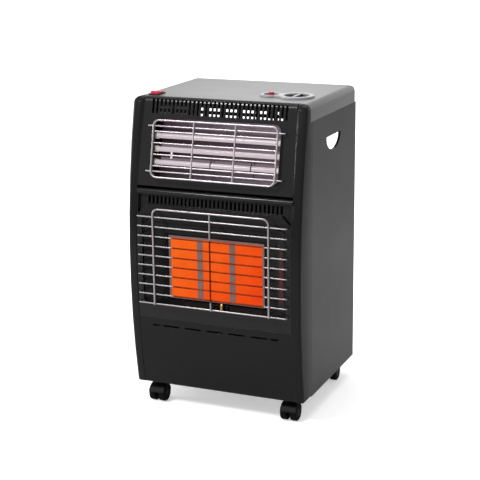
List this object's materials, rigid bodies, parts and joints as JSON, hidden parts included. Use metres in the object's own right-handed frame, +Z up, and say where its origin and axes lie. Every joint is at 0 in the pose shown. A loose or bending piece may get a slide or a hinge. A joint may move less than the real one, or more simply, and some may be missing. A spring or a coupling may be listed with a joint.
{
  "type": "portable gas and electric cabinet heater",
  "caption": "Dark grey portable cabinet heater on casters with a glowing three-plaque gas burner below and quartz heating tubes above, both behind chrome wire guards.",
  "frame": {"origin": "on the floor, at the middle of the overall box in plan", "axes": "+Z up; -Y is the front, where the guards are; +X is to the right when the front is seen from outside"},
  "size_m": [0.422, 0.4093, 0.743],
  "materials": {
    "top_paint": "satin grey enamel on sheet steel",
    "side_paint": "satin dark grey enamel on sheet steel",
    "front_gloss": "gloss black enamel on sheet steel",
    "apron_paint": "semi-gloss anthracite enamel on sheet steel",
    "recess_enamel": "gloss heat-proof enamel",
    "zinc_steel": "zinc-plated sheet steel",
    "burner_steel": "heat-tinted stainless sheet",
    "glowing_ceramic": "porous ceramic at red heat",
    "white_ceramic": "unglazed steatite",
    "chrome_wire": "bright chrome plate on wire",
    "polished_aluminium": "polished sheet",
    "quartz": "clear quartz tube, lit",
    "hot_wire": "resistance wire at white heat",
    "brass": "machined",
    "copper": "drawn tube",
    "black_plastic": "moulded, fine texture",
    "caster_plastic": "moulded nylon",
    "plate_plastic": "moulded, painted silver",
    "red_button": "moulded",
    "red_lens": "translucent, lamp behind it"
  },
  "bodies": {
    "cabinet": {"top_cover": "top_paint", "side_panel_left": "side_paint", "side_panel_right": "side_paint", "front_surround": "front_gloss", "upper_fascia": "front_gloss", "lower_fascia": "apron_paint", "burner_recess": "recess_enamel", "base_tray": "zinc_steel", "rear_crossbar": "side_paint", "inner_shield": "zinc_steel", "burner_housing": "zinc_steel", "burner_frame": "burner_steel", "ceramic_plaque_1": "glowing_ceramic", "ceramic_plaque_2": "glowing_ceramic", "ceramic_plaque_3": "glowing_ceramic", "gas_manifold": "zinc_steel", "pilot_bracket": "zinc_steel", "pilot_burner": "brass", "spark_electrode": "white_ceramic", "thermocouple": "copper", "gas_valve": "polished_aluminium", "valve_bracket": "zinc_steel", "supply_pipe": "copper", "pilot_pipe": "copper", "hose_nozzle": "brass", "control_plate": "plate_plastic", "piezo_igniter": "black_plastic", "switch_housing": "black_plastic", "element_reflector": "polished_aluminium", "element_bracket_left": "white_ceramic", "element_bracket_right": "white_ceramic", "quartz_tube_1": "quartz", "quartz_tube_2": "quartz", "quartz_tube_3": "quartz", "heating_coil_1": "hot_wire", "heating_coil_2": "hot_wire", "heating_coil_3": "hot_wire", "upper_guard": "chrome_wire", "lower_guard": "chrome_wire", "tilt_switch": "black_plastic", "terminal_block": "white_ceramic", "cable_gland": "black_plastic", "caster_mount_1": "zinc_steel", "caster_mount_2": "zinc_steel", "caster_mount_3": "zinc_steel", "caster_mount_4": "zinc_steel"},
    "valve_stem": {"valve_stem": "brass"},
    "control_knob": {"control_knob": "black_plastic"},
    "igniter_button": {"igniter_button": "red_button"},
    "switch_rocker": {"switch_rocker": "red_lens"},
    "rear_cover": {"rear_cover": "side_paint"},
    "caster_hood_1": {"caster_hood_1": "caster_plastic"},
    "caster_wheels_1": {"caster_wheels_1": "caster_plastic"},
    "caster_hood_2": {"caster_hood_2": "caster_plastic"},
    "caster_wheels_2": {"caster_wheels_2": "caster_plastic"},
    "caster_hood_3": {"caster_hood_3": "caster_plastic"},
    "caster_wheels_3": {"caster_wheels_3": "caster_plastic"},
    "caster_hood_4": {"caster_hood_4": "caster_plastic"},
    "caster_wheels_4": {"caster_wheels_4": "caster_plastic"}
  },
  "joints": [
    {"name": "stem_push", "type": "slide", "parent": "cabinet", "child": "valve_stem", "axis": [0, 0, -1], "range_m": [0, 0.005], "stiffness_N_per_m": 600, "springref_m": -0.005},
    {"name": "knob_turn", "type": "hinge", "parent": "valve_stem", "child": "control_knob", "pos_m": [0.146, -0.03665, 0.74], "axis": [0, 0, 1], "range_deg": [0, 270]},
    {"name": "igniter_push", "type": "slide", "parent": "cabinet", "child": "igniter_button", "axis": [0, 0, -1], "range_m": [0, 0.007], "stiffness_N_per_m": 500, "springref_m": -0.004},
    {"name": "switch_rock", "type": "hinge", "parent": "cabinet", "child": "switch_rocker", "pos_m": [-0.173, -0.09665, 0.731], "axis": [1, 0, 0], "range_deg": [0, 16]},
    {"name": "rear_cover_tip", "type": "hinge", "parent": "cabinet", "child": "rear_cover", "pos_m": [0, 0.20135, 0.062], "axis": [-1, 0, 0], "range_deg": [0, 75]},
    {"name": "caster_swivel_1", "type": "hinge", "parent": "cabinet", "child": "caster_hood_1", "pos_m": [-0.168, -0.12065, 0.045], "axis": [0, 0, 1], "continuous": true},
    {"name": "caster_roll_1", "type": "hinge", "parent": "caster_hood_1", "child": "caster_wheels_1", "pos_m": [-0.168, -0.13465, 0.02], "axis": [1, 0, 0], "continuous": true},
    {"name": "caster_swivel_2", "type": "hinge", "parent": "cabinet", "child": "caster_hood_2", "pos_m": [0.168, -0.12065, 0.045], "axis": [0, 0, 1], "continuous": true},
    {"name": "caster_roll_2", "type": "hinge", "parent": "caster_hood_2", "child": "caster_wheels_2", "pos_m": [0.168, -0.13465, 0.02], "axis": [1, 0, 0], "continuous": true},
    {"name": "caster_swivel_3", "type": "hinge", "parent": "cabinet", "child": "caster_hood_3", "pos_m": [-0.168, 0.15735, 0.045], "axis": [0, 0, 1], "continuous": true},
    {"name": "caster_roll_3", "type": "hinge", "parent": "caster_hood_3", "child": "caster_wheels_3", "pos_m": [-0.168, 0.14335, 0.02], "axis": [1, 0, 0], "continuous": true},
    {"name": "caster_swivel_4", "type": "hinge", "parent": "cabinet", "child": "caster_hood_4", "pos_m": [0.168, 0.15735, 0.045], "axis": [0, 0, 1], "continuous": true},
    {"name": "caster_roll_4", "type": "hinge", "parent": "caster_hood_4", "child": "caster_wheels_4", "pos_m": [0.168, 0.14335, 0.02], "axis": [1, 0, 0], "continuous": true}
  ]
}
